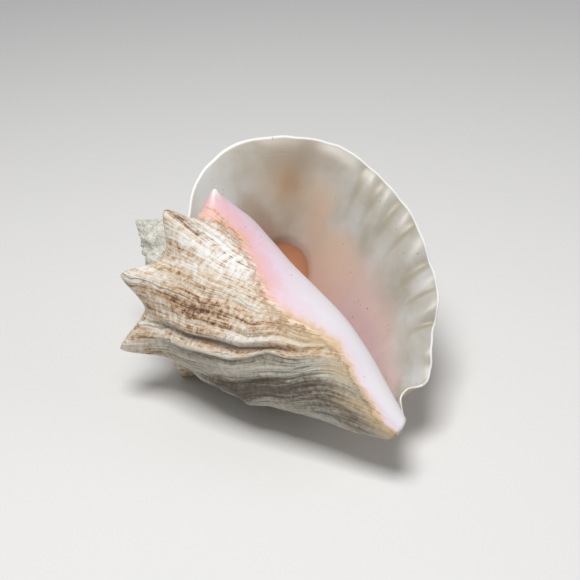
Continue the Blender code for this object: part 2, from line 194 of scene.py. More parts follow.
# Spines, knobs and the old lip edge on the outside
relief = {
    # growth angle, height, tilt towards the apex, half width
    "spines": (
        (-78.0, 17.0, 0.0, 12.0), (-120.0, 21.0, -8.0, 16.0), (-162.0, 26.0, 22.0, 13.5),
        (-204.0, 22.5, 50.0, 13.5), (-252.0, 20.0, 36.0, 12.0), (-294.0, 13.5, 40.0, 15.0),
    ),
    "spireSpacing": 34.0,
    "spireFrom": -318.0,    # the glaze buries the knobs just before this
    "spireFade": 60.0,
    "spireShare": 0.21,
    "spireTilt": 30.0,
    "spireWidth": 8.5,
    "spineHeight": 13.0,
    "spineStretch": 0.75,
    "spineReach": 72.0,
    # growth angle, place, height, half width
    "knobs": (
        (-228.0, 0.62, 4.5, 9.0), (-192.0, 0.62, 2.5, 9.0), (-150.0, 0.62, 4.0, 9.0),
        (-86.0, 0.62, 8.0, 9.0), (-293.0, 0.285, 2.6, 2.4),
    ),
    "fall": 1.2,    # how steeply a spine or knob falls away
    "power": 1.5,
    # growth lines lag behind the shoulder: share of the way down, degrees
    "lag": ((0.0, 0.0), (0.2, 9.0), (0.42, 24.0), (0.62, 54.0), (0.74, 86.0), (0.88, 106.0), (1.0, 118.0)),
    "lagFull": -150.0,
    "ledgeGrowth": -171.5,
    "ledgeHeight": 1.4,
    "ledgeWidth": 2.2,
    "ledgeFade": 25.0,
    "ledgeDown": (0.05, 0.6, 0.8),    # share of the way down: whole from here to here, then gone
    "foldEnds": (0.06, 0.10),    # how softly a fold starts and ends
    # folds along growth lines: growth line, height, half width in degrees, first and last place
    "folds": (
        (-184.5, 1.3, 3.0, 0.29, 0.80), (-177.0, -2.5, 2.8, 0.29, 0.76), (-171.0, 2.0, 1.7, 0.31, 0.80),
        (-143.0, -1.9, 2.6, 0.40, 0.86), (-137.0, 0.9, 3.0, 0.40, 0.86), (-153.0, -0.7, 2.0, 0.50, 0.88),
        (-128.0, -0.9, 2.2, 0.55, 0.90), (-163.0, 0.5, 3.0, 0.45, 0.85), (-214.0, -0.6, 2.5, 0.36, 0.60),
        (-199.0, -0.6, 2.2, 0.36, 0.66), (-100.0, -1.0, 3.0, 0.35, 0.85), (-60.0, -0.8, 3.0, 0.3, 0.8),
    ),
    "waver": 2.2,    # how far a fold strays from its growth line, in degrees
    "waverSteps": (9.0, 200.0),
    "waverFade": 60.0,
    # where the old lip edge was chipped: place, half width, degrees, reach
    "nick": (0.655, 0.024, -4.5, 6.0),
    # fine growth rugae: height, degrees and share of the profile across one
    "rugae": ((0.55, 9.0, 0.20), (0.30, 4.0, 0.12)),
    "rugaeFade": 6.0,    # how soon the glaze smooths them, in degrees
    # the callus thickens the wall beside the aperture: place, thickness
    "callus": (
        (0.16, 0.5), (0.30, 7.0), (0.40, 5.2), (0.50, 3.4), (0.61, 3.4), (0.72, 3.6),
        (0.82, 2.0), (0.92, 0.5), (1.0, 0.0),
    ),
    "callusGrowth": -328.0,
    "callusWidth": 34.0,
    # the glaze starts a step past the foot of the lip: share of the profile, degrees to get there
    "glazeStep": 0.088,
    "glazeStepSpan": 30.0,
    "glazeSlope": 900.0,
    "glazeMargin": 12.0,
    # the left edge of the callus: place, growth line
    "glazeEdge": (
        (0.285, -279.0), (0.31, -280.0), (0.35, -282.0), (0.40, -278.0), (0.453, -266.0),
        (0.505, -252.0), (0.555, -238.0), (0.615, -221.0), (0.667, -214.0), (0.72, -206.0),
        (0.765, -196.0), (0.823, -170.0), (0.88, -146.0), (0.935, -134.0), (0.968, -129.0),
    ),
}


def allSpines():
    found = list(relief["spines"])
    growth = found[-1][0] - relief["spireSpacing"]
    while growth > coil["firstGrowth"]:
        tall = relief["spireShare"] * coil["shoulderRadius"] * growthSize(growth)
        tall *= ease((relief["spireFrom"] - growth) / relief["spireFade"])
        found.append((growth, tall, relief["spireTilt"], relief["spireWidth"]))
        growth -= relief["spireSpacing"]
    return found


def bump(across, along):
    return np.exp(-relief["fall"] * np.hypot(across, along) ** relief["power"])[..., None]


def lag(growth, height):
    down = (shoulderHeight(growth) - height) / (shoulderHeight(growth) - coil["canalTipHeight"])
    return np.interp(down, [row[0] for row in relief["lag"]], [row[1] for row in relief["lag"]])


def ledge(growth, radius, height, place):    # the old lip edge and the folds along growth lines
    strayed = wavered(growth + lag(growth, height), growth, place)
    down = (shoulderHeight(growth) - height) / shoulderHeight(growth)
    begin, whole, gone = relief["ledgeDown"]
    present = np.clip(down / begin, 0, 1) * np.clip((gone - down) / (gone - whole), 0, 1)
    past = np.radians(strayed - relief["ledgeGrowth"]) * radius
    standsOut = relief["ledgeHeight"] * ease(past / relief["ledgeWidth"] + 0.5) * present
    standsOut = standsOut * np.exp(-np.clip(past, 0, None) / relief["ledgeFade"])
    for at, tall, wide, first, last in relief["folds"]:
        fade = ease((place - first) / relief["foldEnds"][0]) * ease((last - place) / relief["foldEnds"][1])
        standsOut = standsOut + tall * fade * np.exp(-(((strayed - at) / wide) ** 2))
    return standsOut


def wavered(line, growth, place):    # growth lines stray a little, and bend round a chip in the old lip
    spot, half, shift, reach = relief["nick"]
    nicked = np.exp(-(((place - spot) / half) ** 2) - ((line - relief["ledgeGrowth"]) / reach) ** 2)
    waves, turn = relief["waverSteps"]
    stray = relief["waver"] * wander(place * waves, growth / turn)
    return line - (stray + shift * nicked) * ease((coil["lipStart"] - growth) / relief["waverFade"])


def wander(first, second):    # smooth noise over two numbers
    pairs = np.broadcast_arrays(np.asarray(first, float), np.asarray(second, float))
    found = [noise.noise((a, b, 0.37)) for a, b in zip(pairs[0].ravel(), pairs[1].ravel())]
    return np.array(found).reshape(pairs[0].shape)


def rugae(growth, place):
    line = growth + lag(growth, profile(growth, place)[1])
    height = 0
    for tall, step, stretch in relief["rugae"]:
        height = height + tall * wander(line / step, place / stretch + tall)
    height = height * np.minimum(growthSize(growth + 360), 1)    # finer up the spire
    return height * (1 - ease(glazeEdge(growth, line, place) / relief["rugaeFade"] + 0.5))


# How far onto the glaze a point of the outside lies, in degrees: below zero is bare shell
def glazeEdge(growth, line, place):
    places, lines = zip(*relief["glazeEdge"])
    climbed = growth - coil["lipStart"] + 360
    share = ease(climbed / (lipForm["climbEnd"] - coil["lipStart"]))
    foot = coil["suturePlace"] + (lipForm["climbPlace"] - coil["suturePlace"]) * share
    foot += relief["glazeStep"] * ease(climbed / relief["glazeStepSpan"])
    past = relief["glazeSlope"] * (place - foot) - relief["glazeMargin"]
    onto = np.minimum(np.interp(place, places, lines) - line, past)
    inAperture = (place > coil["suturePlace"]) & (growth < coil["sheetStart"])
    onto = np.where(inAperture, 100.0, onto)
    return np.where(climbed < 0, np.where(inAperture, 100.0, -100.0), onto)


def callus(growth, place):
    knots, thickness = zip(*relief["callus"])
    share = np.exp(-(((growth - relief["callusGrowth"]) / relief["callusWidth"]) ** 2))
    return share * np.clip(smoothCurve(knots, thickness, np.clip(place, knots[0], knots[-1])), 0, None)


def whorl(growth, place):    # the outside with its spines, knobs and ledge
    growth, place = np.broadcast_arrays(np.asarray(growth, float), np.asarray(place, float))
    radius, height = profile(growth, place)
    points = turned(growth, radius, height)
    for angle, tall, tilt, wide in allSpines():
        near = np.abs(growth - angle) < relief["spineReach"]
        if not near.any():
            continue
        size = growthSize(angle)
        middleRadius, middleHeight = profile(angle, coil["shoulderPlace"])
        across = np.radians(growth - angle) * middleRadius / (wide * size)
        along = np.hypot(radius - middleRadius, height - middleHeight) / (relief["spineHeight"] * size)
        along = np.where(height < middleHeight, along * relief["spineStretch"], along)
        lift = math.radians(tilt)
        way = math.cos(lift) * outward(growth) + math.sin(lift) * np.array([0.0, 0.0, 1.0])
        points = points + near[..., None] * bump(across, along) * tall * way
    for angle, spot, tall, wide in relief["knobs"]:
        middleRadius, middleHeight = profile(angle, spot)
        across = np.radians(growth - angle) * middleRadius / wide
        along = np.hypot(radius - middleRadius, height - middleHeight) / wide
        points = points + bump(across, along) * tall * outward(growth)
    standsOut = ledge(growth, radius, height, place) + callus(growth, place) + rugae(growth, place)
    return points + standsOut[..., None] * outward(growth)


# The flared lip and the wall
lipForm = {
    # place on the profile, margin (right, ventral, height), the way it flares,
    # how far it runs straight on from its root and straight out to its margin
    "stations": (
        (0.00, (5, 27, 181), (-0.98, 0.20, 0.20), 30, 24),
        (0.03, (10, 29, 187), (-0.80, 0.40, 0.50), 31, 24),
        (0.07, (26, 37, 198), (-0.10, 0.60, 0.80), 36, 26),
        (0.12, (45, 42, 201), (0.25, 0.55, 0.80), 40, 30),
        (0.18, (67, 46, 195), (0.45, 0.50, 0.74), 42, 30),
        (0.25, (88, 46, 179), (0.65, 0.45, 0.60), 44, 30),
        (0.33, (104, 43, 158), (0.80, 0.40, 0.40), 45, 28),
        (0.41, (110, 36, 132), (0.90, 0.35, 0.20), 45, 26),
        (0.49, (108, 29, 105), (0.93, 0.30, 0.05), 45, 25),
        (0.59, (94, 20, 73), (0.92, 0.25, -0.15), 40, 24),
        (0.69, (75, 12, 47), (0.88, 0.20, -0.35), 34, 20),
        (0.78, (53, 5, 32), (0.80, 0.15, -0.50), 28, 16),
        (0.85, (40, 0, 21), (0.75, 0.15, -0.60), 20, 12),
        (0.90, (30, -2, 17), (0.80, 0.20, -0.40), 14, 8),
        (0.94, (20, 0, 20), (0.80, 0.40, -0.20), 10, 5),
        (0.97, (12, 0, 18), (0.80, 0.45, -0.20), 6, 3),
        (1.00, (9, -7, 13), (0.90, 0.35, -0.10), 5, 3),
    ),
    "climbEnd": 82.0,    # how far round and up the spire the lip's end climbs
    "climbPlace": 0.06,
    "climbDepth": 2.0,
    "climbReach": 0.16,
    # folds at the margin: place, depth, half width
    "folds": (
        (0.40, 1.2, 0.016), (0.44, 2.0, 0.016), (0.485, 3.6, 0.019), (0.535, 2.6, 0.016),
        (0.61, 5.0, 0.020), (0.665, 2.0, 0.014), (0.735, 4.6, 0.017), (0.81, -2.5, 0.030),
        (0.30, 0.8, 0.03), (0.20, 0.8, 0.03),
    ),
    "foldReach": 1.9,
    "uneven": 0.8,    # how far the margin strays, in millimetres
    "unevenWaves": 38.0,
    "wall": 3.2,    # thick in the whorl, thinner at the margin, the suture and the canal
    "edgeWall": 2.0,
    "sutureShare": 0.3,
    "sutureReach": 0.08,
    "canalShare": 0.4,
    "canalPlace": 0.8,
    "sink": 0.25,    # the wall dives under the columella, so that no seam shows
    "rise": 0.08,    # just before that it stands proud of the columella's end
    "riseSpan": 8.0,
    "riseHold": 2.0,
    "rimBulge": 0.7,
    "insidePasses": 250,    # the inside is rounder than the outside
    "roundPlace": 0.6,
    "plainPlace": 0.85,
    "growthSpan": 110.0,    # degrees of growth lines across the lip
    # the inside steps back behind the throat's edge: growth line, place, half sizes
    "cavity": (-40.0, 0.270, 19.5, 0.110),
    "cavityDepth": 1.6,
    "cavityEdge": (1.06, 0.12),    # where its step starts, in half sizes, and how wide it is
}


def spireClimb(ways):
    growth = coil["lipStart"] - 360 + ways * (lipForm["climbEnd"] - coil["lipStart"])
    place = coil["suturePlace"] + (lipForm["climbPlace"] - coil["suturePlace"]) * ease(ways)
    depth = lipForm["climbDepth"] * ease(ways / 0.1)
    return turned(growth, *profile(growth, place)) - depth[:, None] * outward(growth)


def stationPoints(part, places):    # one column of the stations, where ventral is -Y
    knots = [row[0] for row in lipForm["stations"]]
    along = [[row[part][axis] for row in lipForm["stations"]] for axis in range(3)]
    return np.stack([smoothCurve(knots, values, places) for values in along], -1) * (1, -1, 1)


def lipSurface(ways, places):    # from its root on the whorl (0) to its margin (1)
    stations = lipForm["stations"]
    knots = [row[0] for row in stations]
    margin, flare = (stationPoints(part, places) for part in (1, 2))
    flare /= np.linalg.norm(flare, axis=-1, keepdims=True)
    leave = smoothCurve(knots, [row[3] for row in stations], places)[:, None]
    arrive = smoothCurve(knots, [row[4] for row in stations], places)[:, None]
    start = coil["lipStart"]
    root = whorl(start, places)
    heading = turned(start + 1 + 0 * places, *profile(start + 1, places))
    heading -= turned(start - 1 + 0 * places, *profile(start - 1, places))
    heading /= np.linalg.norm(heading, axis=-1, keepdims=True)
    way = ways[:, None, None]
    surface = (1 - way) ** 3 * root + 3 * (1 - way) ** 2 * way * (root + leave * heading)
    surface = surface + 3 * (1 - way) * way**2 * (margin - arrive * flare) + way**3 * margin
    near = np.clip(1 - places / lipForm["climbReach"], 0, 1)[:, None] ** 2
    surface = surface + near * (spireClimb(ways)[:, None] - surface[:, :1])    # its end runs up the spire
    uneven = lipForm["uneven"] * wander(places * lipForm["unevenWaves"], 0.6)[:, None]
    surface = surface + way**3 * uneven * flare
    depth = 0
    for place, deep, half in lipForm["folds"]:
        depth = depth + deep * np.exp(-(((places - place) / half) ** 2))
    side = np.cross(flare, np.gradient(margin, axis=0))
    side /= np.linalg.norm(side, axis=-1, keepdims=True)
    return surface, depth[:, None] * side * way ** lipForm["foldReach"]


def offsetInwards(points, wall):
    normal = np.cross(np.gradient(points, axis=0), np.gradient(points, axis=1))
    normal /= np.linalg.norm(normal, axis=-1, keepdims=True)
    return points - wall[..., None] * normal


def growthLine(growth, place):    # the growth line through a point, in degrees
    line = growth + 0 * place
    for _ in range(6):
        line = growth + lag(line, profile(line, place)[1])
    return line


# A sheet is a grid of points with its two maps: growth line and place, then inside and glaze
def addSheet(mesh, points, line, place, inside, glaze):
    rows, columns = points.shape[:2]
    growthMap, finishMap = mesh.loops.layers.uv["growth"], mesh.loops.layers.uv["finish"]
    made = bmesh.ops.create_grid(mesh, x_segments=columns - 1, y_segments=rows - 1, size=1)["verts"]
    given = (line, place, inside, glaze)
    line, place, inside, glaze = (np.broadcast_to(values, (rows, columns)).reshape(-1) for values in given)
    number = {}
    for index, (vertex, point) in enumerate(zip(made, points.reshape(-1, 3))):
        vertex.co = point
        number[vertex] = index
    for face in {face for vertex in made for face in vertex.link_faces}:
        face.smooth = True
        for loop in face.loops:
            index = number[loop.vert]
            loop[growthMap].uv = (line[index] / 100, place[index])
            loop[finishMap].uv = (inside[index], glaze[index] / 100)


def closedObject(mesh, name):
    bmesh.ops.remove_doubles(mesh, verts=mesh.verts, dist=0.001)
    bmesh.ops.holes_fill(mesh, edges=[edge for edge in mesh.edges if edge.is_boundary])
    bmesh.ops.recalc_face_normals(mesh, faces=mesh.faces)
    maps = [mesh.loops.layers.uv["growth"], mesh.loops.layers.uv["finish"]]
    bare = {face for face in mesh.faces if not any(loop[maps[0]].uv.length for loop in face.loops)}
    # caps take the maps of what is round them
    for loop in [loop for face in bare for loop in face.loops]:
        near = next((other for other in loop.vert.link_loops if other.face not in bare), loop)
        for layer in maps:
            loop[layer].uv = near[layer].uv
    data = bpy.data.meshes.new(name)
    mesh.to_mesh(data)
    mesh.free()
    thing = bpy.data.objects.new(name, data)
    bpy.context.scene.collection.objects.link(thing)
    return thing


def newMesh():
    mesh = bmesh.new()
    mesh.loops.layers.uv.new("growth")
    mesh.loops.layers.uv.new("finish")
    return mesh


def makeSpireAndColumella():
    growth = np.arange(coil["firstGrowth"], coil["coreEnd"] + 1, fineness["coreStep"])[:, None]
    places = np.linspace(0, coil["suturePlace"], fineness["coreRampRows"] + 1)
    strip = whorl(growth, places)
    # no next whorl starts beyond the lip
    suture = ease((growth - coil["lipStart"] + 360) / coil["sutureFade"])
    strip[:, -1] += (1 - suture) * (whorl(growth[:, 0] + 360, 0.0) - strip[:, -1])
    mesh = newMesh()
    line = growthLine(growth, places)
    addSheet(mesh, strip, wavered(line, growth, places), places, 0, glazeEdge(growth, line, places))
    lastTurn = slice(-int(360 / fineness["coreStep"]) - 1, None)
    places = np.linspace(coil["suturePlace"], 1, fineness["coreFlankRows"] + 1)
    flank = whorl(growth[lastTurn], places)
    flank[:, 0] = strip[lastTurn, -1]
    addSheet(mesh, flank, growthLine(growth[lastTurn], places), places, 0, 100)
    section = np.concatenate([strip[-1], flank[-1, 1:], flank[0, :0:-1]])
    mesh.faces.new([mesh.verts.new(point) for point in section])
    return closedObject(mesh, "spireAndColumella")


def rim(near, far, out):    # a rounded edge between two sheets
    angle = np.linspace(0, math.pi, fineness["rimColumns"])[:, None, None]
    middle = (near + far) / 2
    return middle + np.cos(angle) * (near - middle) + np.sin(angle) * out


def closeWall(outer, inner, line, strayed, place, glaze, name, rounded):
    mesh = newMesh()
    addSheet(mesh, outer, strayed, place, 0, glaze)
    addSheet(mesh, inner, line, place, 1, 100)
    lines, places = np.broadcast_arrays(line, place)
    for edge in ((0, slice(None)), (slice(None), 0), (slice(None), -1), (-1, slice(None))):
        strip, across = np.stack([outer[edge], inner[edge]]), np.array([[0], [1]])
        if rounded and edge[0] == -1:
            out = outer[-1] - outer[-2]
            out *= lipForm["rimBulge"] / np.linalg.norm(out, axis=-1, keepdims=True)
            strip = rim(outer[-1], inner[-1], out)
            across = np.linspace(0, 1, fineness["rimColumns"])[:, None]
        addSheet(mesh, strip, lines[edge], places[edge], across, 100)
    return closedObject(mesh, name)


def makeWalls():
    shoulder = coil["shoulderPlace"]
    places = np.append(
        np.linspace(0, shoulder, fineness["rampRows"])[:-1],
        np.linspace(shoulder, 1, fineness["flankRows"] + 1),
    )
    start = coil["lipStart"]
    line = np.append(np.arange(coil["sheetStart"], start, fineness["sheetStep"]), start)[:, None]
    lean = ease((start - line) / (start - relief["lagFull"]))
    growth = line - lean * lag(line, profile(line, places)[1])
    ways = np.linspace(0, 1, fineness["lipColumns"] + 1)[1:]
    lip, folds = lipSurface(ways, places)
    root = len(line)

    thinner = lipForm["sutureShare"] + (1 - lipForm["sutureShare"]) * ease(places / lipForm["sutureReach"])
    canal = (places - lipForm["canalPlace"]) / (1 - lipForm["canalPlace"])
    thinner *= 1 - (1 - lipForm["canalShare"]) * ease(canal)
    wall = np.append(np.full(root, lipForm["wall"]),
                     np.linspace(lipForm["wall"], lipForm["edgeWall"], fineness["lipColumns"]))
    wall = wall[:, None] * thinner
    plain = np.concatenate([turned(growth, *profile(growth, places)), lip])
    rounder = plain.copy()
    for _ in range(lipForm["insidePasses"]):
        rounder[:, 1:-1] = (rounder[:, :-2] + 2 * rounder[:, 1:-1] + rounder[:, 2:]) / 4
    share = 1 - np.append(np.zeros(root), ways)[:, None] ** 2
    plainer = (places - lipForm["roundPlace"]) / (lipForm["plainPlace"] - lipForm["roundPlace"])
    share = share * (1 - ease(plainer))
    # no hollows under the spines
    inner = offsetInwards(plain + share[..., None] * (rounder - plain), wall)
    inner[root:] += folds
    at, spot, wide, tall = lipForm["cavity"]
    lines = np.append(line, start + ways * lipForm["growthSpan"])[:, None]
    within = np.hypot((lines - at) / wide, (places - spot) / tall)
    reach, step = lipForm["cavityEdge"]
    inner = offsetInwards(inner, -lipForm["cavityDepth"] * ease((reach - within) / step))

    outer = np.concatenate([whorl(growth, places), lip + folds])
    before = (coil["coreEnd"] - growth) / lipForm["riseSpan"]
    sunk = (lipForm["sink"] + lipForm["rise"]) * ease(before - lipForm["riseHold"] / lipForm["riseSpan"])
    sunk -= lipForm["rise"] * ease(before + 1)
    outer[:root] -= sunk[..., None] * outward(growth)
    outer[:root, 0] -= lipForm["sink"] * outward(growth[:, 0])
    outer[:, -1, 2] -= lipForm["sink"]
    inner[:, -1, 2] -= lipForm["sink"]
    glaze = np.full(outer.shape[:2], -100.0)
    glaze[:root] = glazeEdge(growth, lines[:root], places)
    strayed = wavered(lines[:root], growth, places)
    walls = []
    for name, part in (("lastWhorl", slice(0, root)), ("flaredLip", slice(root - 1, None))):
        onLip = name == "flaredLip"
        bent = lines[part] if onLip else strayed
        sheets = outer[part], inner[part], lines[part], bent, places, glaze[part]
        walls.append(closeWall(*sheets, name, onLip))
    return walls


def standingToRoom():    # from the standing shell in millimetres to the floor in metres
    roll = Matrix.Rotation(math.radians(coil["roll"]), 4, "X")
    pitch = Matrix.Rotation(math.radians(coil["pitch"]), 4, "Y")
    onBack = Matrix.Rotation(math.radians(90), 4, "Z") @ Matrix.Rotation(math.radians(-90), 4, "X")
    return Matrix.Translation(coil["settle"]) @ Matrix.Scale(0.001, 4) @ roll @ pitch @ onBack


def keepShell(whole):    # drops slivers and crumbs that the union leaves where the tip's spines touch
    mesh = bmesh.new()
    mesh.from_mesh(whole)
    bmesh.ops.dissolve_degenerate(mesh, edges=mesh.edges, dist=fineness["sliver"])
    left, pieces = set(mesh.verts), []
    while left:
        piece, waiting = set(), [left.pop()]
        while waiting:
            vertex = waiting.pop()
            piece.add(vertex)
            near = {edge.other_vert(vertex) for edge in vertex.link_edges} & left
            left -= near
            waiting.extend(near)
        pieces.append(piece)
    pieces.sort(key=len)
    bmesh.ops.delete(mesh, geom=[vertex for piece in pieces[:-1] for vertex in piece], context="VERTS")
    loose = sum(not edge.is_manifold for edge in mesh.edges)
    print("crumbs dropped", len(pieces) - 1, "edges without two faces", loose)
    mesh.to_mesh(whole)
    mesh.free()
    whole.validate()


def makeShell():
    shell = makeSpireAndColumella()
    print("spire and columella", len(shell.data.polygons))
    walls = bpy.data.collections.new("walls")
    for wall in makeWalls():
        bpy.context.scene.collection.objects.unlink(wall)
        walls.objects.link(wall)
        print(wall.name, len(wall.data.polygons))
    join = shell.modifiers.new("join", "BOOLEAN")
    join.operation = "UNION"
    join.solver = "EXACT"
    join.operand_type = "COLLECTION"
    join.collection = walls
    whole = bpy.data.meshes.new_from_object(shell.evaluated_get(bpy.context.evaluated_depsgraph_get()))
    shell.modifiers.clear()
    shell.data = whole
    shell.name = "conchShell"
    for wall in list(walls.objects):
        bpy.data.objects.remove(wall)
    keepShell(whole)
    whole.transform(standingToRoom())
    whole.shade_smooth()
    print("shell joined", len(whole.polygons))
    return shell


# The room: a pale floor, soft lights and the camera where the photo was taken from
studio = {
    "floorColour": (0.80, 0.79, 0.77, 1),
    "floorSize": 6.0,
    "toCamera": (-0.5005, -0.7068, -0.5),    # in the standing frame
    "imageRight": (0.7174, -0.0148, -0.6971),
    "target": (5.7, -30.2, 96.9),
    "distance": 600.0,
    "lens": 68.0,
    "sensor": 36.0,
    # place, size, watts
    "keyLight": ((0.10, -0.25, 1.15), 0.5, 11.5),
    "fillLight": ((0.9, 0.9, 0.7), 0.9, 2.2),
    "lightsAim": (0, 0, 0.05),
    "roomColour": (0.92, 0.95, 1.0, 1),
    "roomStrength": 0.24,
}


def makeCamera():
    toRoom = standingToRoom()
    back = Vector(studio["toCamera"]).normalized()
    right = Vector(studio["imageRight"])
    right = (right - right.dot(back) * back).normalized()
    up = back.cross(right)
    turn = toRoom.to_3x3().normalized()
    axes = Matrix([turn @ right, turn @ up, turn @ back]).transposed()
    spot = toRoom @ (Vector(studio["target"]) + back * studio["distance"])
    data = bpy.data.cameras.new("photoCamera")
    data.lens = studio["lens"]
    data.sensor_width = studio["sensor"]
    data.clip_start = 0.01
    camera = bpy.data.objects.new("photoCamera", data)
    camera.matrix_world = Matrix.Translation(spot) @ axes.to_4x4()
    bpy.context.scene.collection.objects.link(camera)
    bpy.context.scene.camera = camera
    return camera


def makeLight(name, place, size, power):
    data = bpy.data.lights.new(name, "AREA")
    data.size = size
    data.energy = power
    light = bpy.data.objects.new(name, data)
    light.location = place
    aim = Vector(studio["lightsAim"]) - Vector(place)
    light.rotation_euler = aim.to_track_quat("-Z", "Y").to_euler()
    bpy.context.scene.collection.objects.link(light)


def makeRoom():
    mesh = bmesh.new()
    bmesh.ops.create_grid(mesh, x_segments=1, y_segments=1, size=studio["floorSize"] / 2)
    data = bpy.data.meshes.new("floor")
    mesh.to_mesh(data)
    mesh.free()
    floor = bpy.data.objects.new("floor", data)
    bpy.context.scene.collection.objects.link(floor)
    material = bpy.data.materials.new("paleFloor")
    material.use_nodes = True
    shader = material.node_tree.nodes["Principled BSDF"]
    shader.inputs["Base Color"].default_value = studio["floorColour"]
    shader.inputs["Roughness"].default_value = 0.9
    shader.inputs["Specular IOR Level"].default_value = 0.2
    data.materials.append(material)
    floor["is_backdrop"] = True
    world = bpy.data.worlds.new("softRoom")
    bpy.context.scene.world = world
    world.use_nodes = True
    world.node_tree.nodes["Background"].inputs["Color"].default_value = studio["roomColour"]
    world.node_tree.nodes["Background"].inputs["Strength"].default_value = studio["roomStrength"]
    for name in ("keyLight", "fillLight"):
        makeLight(name, *studio[name])
    bpy.context.scene.view_settings.view_transform = "Standard"    # keeps the colours as they are picked


# Colours as they are picked on the screen
def colour(red, green, blue):
    parts = [value / 255 for value in (red, green, blue)]
    parts = [part / 12.92 if part < 0.04 else ((part + 0.055) / 1.055) ** 2.4 for part in parts]
    return (*parts, 1.0)


